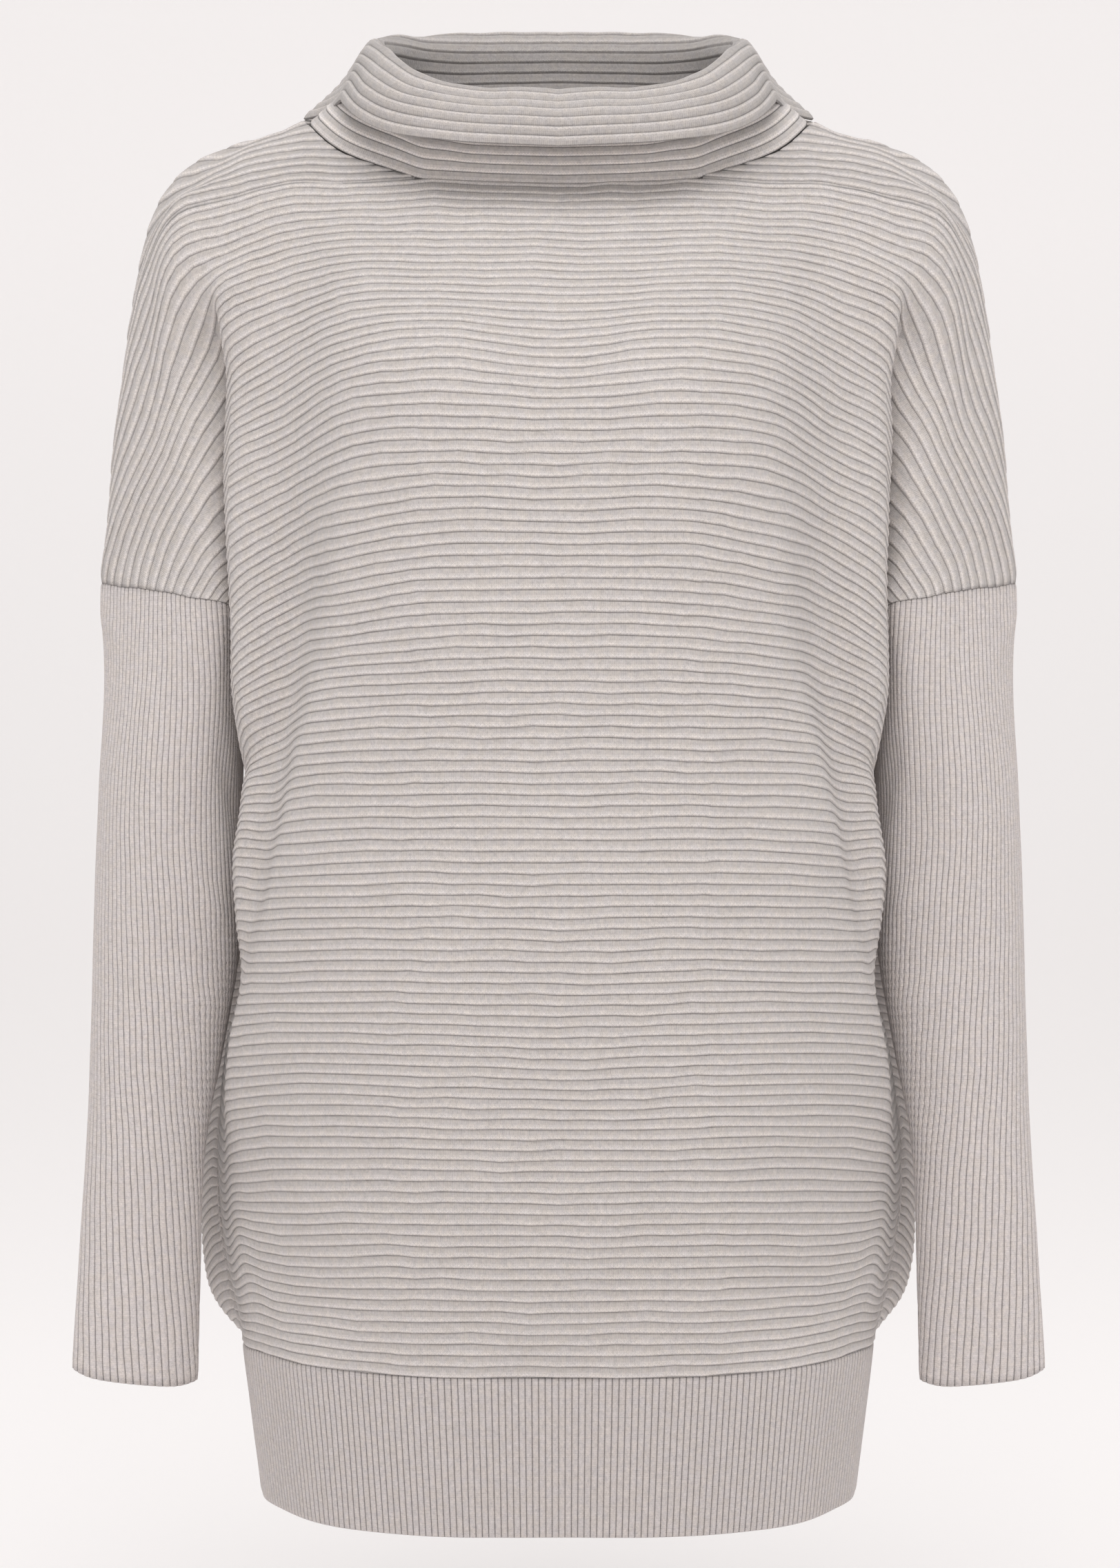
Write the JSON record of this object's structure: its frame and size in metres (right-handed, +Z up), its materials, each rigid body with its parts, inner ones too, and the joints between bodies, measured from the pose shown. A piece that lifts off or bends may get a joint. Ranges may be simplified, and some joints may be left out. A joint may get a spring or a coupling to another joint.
{
  "type": "roll neck tunic",
  "caption": "Long-sleeved roll neck tunic in raised crosswise rib, with fine-rib sleeves and hem band, filled out and open at neck, cuffs and hem.",
  "frame": {"origin": "middle of the neck opening at the height of the shoulder neck points, where a wearer's neck and shoulders hold the garment", "axes": "+Z up, -Y towards the front of the garment, +X towards the viewer's right when it is seen from the front"},
  "size_m": [0.5402, 0.2707, 0.8114],
  "materials": {
    "broad_rib": "matt melange knit in broad raised ribs, light stone grey",
    "fine_rib": "matt melange knit in fine upright rib, light stone grey"
  },
  "bodies": {
    "root": {"body_front": "broad_rib", "body_back": "broad_rib", "collar": "broad_rib", "sleeve_left": "fine_rib", "sleeve_right": "fine_rib", "hem_band": "fine_rib"}
  },
  "joints": []
}
